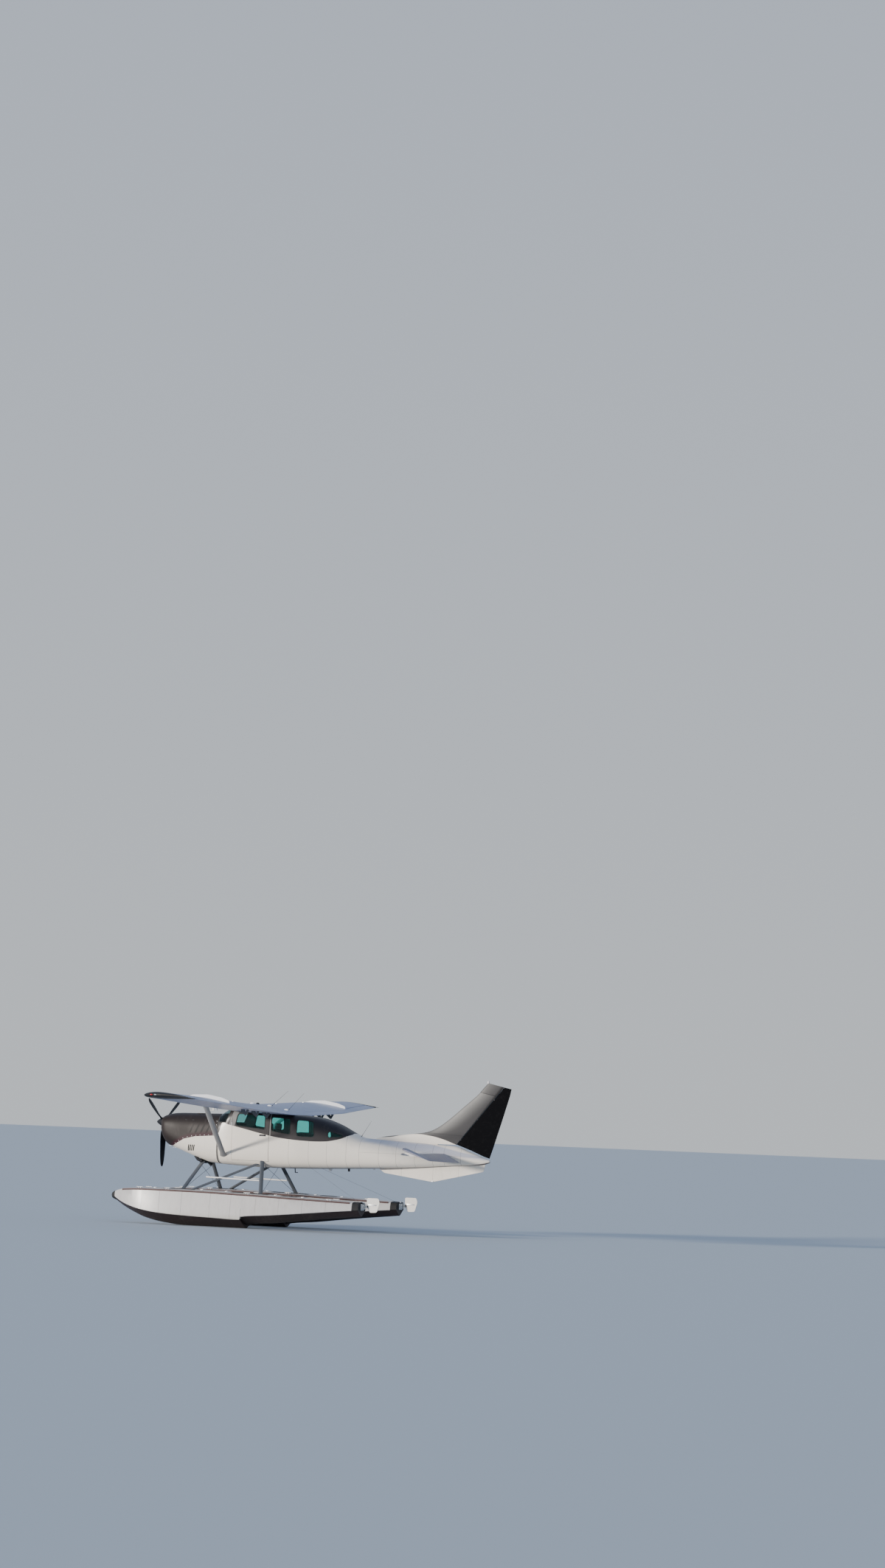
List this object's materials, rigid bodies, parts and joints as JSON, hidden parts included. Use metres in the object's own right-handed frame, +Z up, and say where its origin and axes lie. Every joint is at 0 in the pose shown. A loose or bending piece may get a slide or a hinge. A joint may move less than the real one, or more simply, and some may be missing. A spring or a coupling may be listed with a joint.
{
  "type": "high-wing six-seat utility floatplane",
  "caption": "High-wing, strut-braced utility aircraft on twin floats, with turning propeller, control surfaces, slotted flaps, cabin and cargo doors, and steering water rudders.",
  "frame": {"origin": "on the floor under the middle of the aircraft's length and span, at the level of the floats' keels", "axes": "+X forwards to the propeller, +Y to port, +Z up"},
  "size_m": [9.0801, 10.96, 3.4382],
  "materials": {
    "cream_paint": "gloss paint on sheet metal",
    "white_paint": "gloss paint on sheet metal",
    "charcoal_paint": "metallic paint on sheet metal",
    "graphite_paint": "metallic paint on sheet metal",
    "black_paint": "gloss black paint",
    "glazing": "clear acrylic with a green tint",
    "grey_paint": "semi-gloss paint on steel tube",
    "bare_alloy": "weathered bare alloy",
    "engine_castings": "dull grey castings",
    "bumper_rubber": "matte rubber",
    "seat_leather": "soft leather",
    "cabin_carpet": "short pile",
    "panel_plastic": "matte black"
  },
  "bodies": {
    "airframe": {"firewall": "grey_paint", "windshield": "glazing", "cabin_roof": "cream_paint", "cabin_belly": "cream_paint", "cabin_side_left": "cream_paint", "cabin_side_right": "cream_paint", "window_second_left": "glazing", "window_third_left": "glazing", "window_fourth_left": "glazing", "window_first_right": "glazing", "window_fourth_right": "glazing", "cabin_floor": "cabin_carpet", "instrument_panel": "panel_plastic", "seat_pilot": "seat_leather", "seat_copilot": "seat_leather", "bench_middle": "seat_leather", "bench_rear": "seat_leather", "cowl_upper": "charcoal_paint", "cowl_lower": "cream_paint", "engine_block": "engine_castings", "front_gear_fitting": "black_paint", "wing_middle": "white_paint", "wing_left": "white_paint", "wing_right": "white_paint", "wing_strut_left": "grey_paint", "wing_strut_right": "grey_paint", "tail_cone": "cream_paint", "fin": "graphite_paint", "ventral_fin": "cream_paint", "stabilizer_left": "cream_paint", "stabilizer_right": "cream_paint", "float_left": "white_paint", "float_right": "white_paint", "bow_bumper_left": "bumper_rubber", "bow_bumper_right": "bumper_rubber", "float_front_strut_left": "grey_paint", "float_front_strut_right": "grey_paint", "float_rear_strut_left": "grey_paint", "float_rear_strut_right": "grey_paint", "float_diagonal_left": "grey_paint", "float_diagonal_right": "grey_paint", "spreader_front": "grey_paint", "spreader_rear": "grey_paint"},
    "propeller": {"propeller": "black_paint", "spinner": "black_paint"},
    "pilot_door": {"door_pilot": "cream_paint", "window_first_left": "glazing"},
    "cargo_door_front": {"door_cargo_front": "cream_paint", "window_second_right": "glazing"},
    "cargo_door_rear": {"door_cargo_rear": "cream_paint", "window_third_right": "glazing"},
    "aileron_left": {"aileron_left": "white_paint"},
    "aileron_right": {"aileron_right": "white_paint"},
    "flap_left": {"flap_left": "white_paint"},
    "flap_right": {"flap_right": "white_paint"},
    "elevator": {"elevator": "cream_paint"},
    "rudder": {"rudder": "black_paint"},
    "water_rudder_left": {"water_rudder_left": "bare_alloy"},
    "water_rudder_right": {"water_rudder_right": "bare_alloy"}
  },
  "joints": [
    {"name": "propeller_spin", "type": "hinge", "parent": "airframe", "child": "propeller", "pos_m": [3.88, 0, 2.285], "axis": [1, 0, 0], "continuous": true},
    {"name": "aileron_left_turn", "type": "hinge", "parent": "airframe", "child": "aileron_left", "pos_m": [0.788, 3.461, 2.728], "axis": [0.1306, 0.9897, 0.0585], "range_deg": [-18, 18]},
    {"name": "aileron_right_turn", "type": "hinge", "parent": "airframe", "child": "aileron_right", "pos_m": [0.788, -3.461, 2.728], "axis": [0.1306, -0.9897, 0.0585], "range_deg": [-18, 18]},
    {"name": "flap_left_turn", "type": "hinge", "parent": "airframe", "child": "flap_left", "pos_m": [0.77, 0.575, 2.45], "axis": [0, -0.9993, -0.0366], "range_deg": [0, 40]},
    {"name": "flap_right_turn", "type": "hinge", "parent": "airframe", "child": "flap_right", "pos_m": [0.77, -0.575, 2.45], "axis": [0, -0.9993, 0.0366], "range_deg": [0, 40]},
    {"name": "elevator_turn", "type": "hinge", "parent": "airframe", "child": "elevator", "pos_m": [-3.07, 0, 1.8], "axis": [0, 1, 0], "range_deg": [0, 42]},
    {"name": "rudder_turn", "type": "hinge", "parent": "airframe", "child": "rudder", "pos_m": [-3.302, 0, 2.052], "axis": [-0.6337, 0, 0.7736], "range_deg": [-24, 24]},
    {"name": "water_rudder_left_turn", "type": "hinge", "parent": "airframe", "child": "water_rudder_left", "pos_m": [-1.63, 1.17, 0.605], "axis": [0, 0, 1], "range_deg": [-30, 30]},
    {"name": "water_rudder_right_turn", "type": "hinge", "parent": "airframe", "child": "water_rudder_right", "pos_m": [-1.63, -1.17, 0.605], "axis": [0, 0, 1], "range_deg": [-30, 30]},
    {"name": "door_pilot_turn", "type": "hinge", "parent": "airframe", "child": "pilot_door", "pos_m": [1.934, 0.562, 2], "axis": [0, 0, -1], "range_deg": [0, 70]},
    {"name": "door_cargo_front_turn", "type": "hinge", "parent": "airframe", "child": "cargo_door_front", "pos_m": [1.032, -0.573, 2], "axis": [0, 0, 1], "range_deg": [0, 90]},
    {"name": "door_cargo_rear_turn", "type": "hinge", "parent": "airframe", "child": "cargo_door_rear", "pos_m": [-0.112, -0.521, 1.9], "axis": [0, 0, -1], "range_deg": [0, 90]}
  ],
  "couplings": [
    {"joint": "aileron_right_turn", "follows": "aileron_left_turn", "ratio": 1},
    {"joint": "flap_right_turn", "follows": "flap_left_turn", "ratio": 1},
    {"joint": "water_rudder_left_turn", "follows": "rudder_turn", "ratio": 1.25},
    {"joint": "water_rudder_right_turn", "follows": "rudder_turn", "ratio": 1.25}
  ]
}
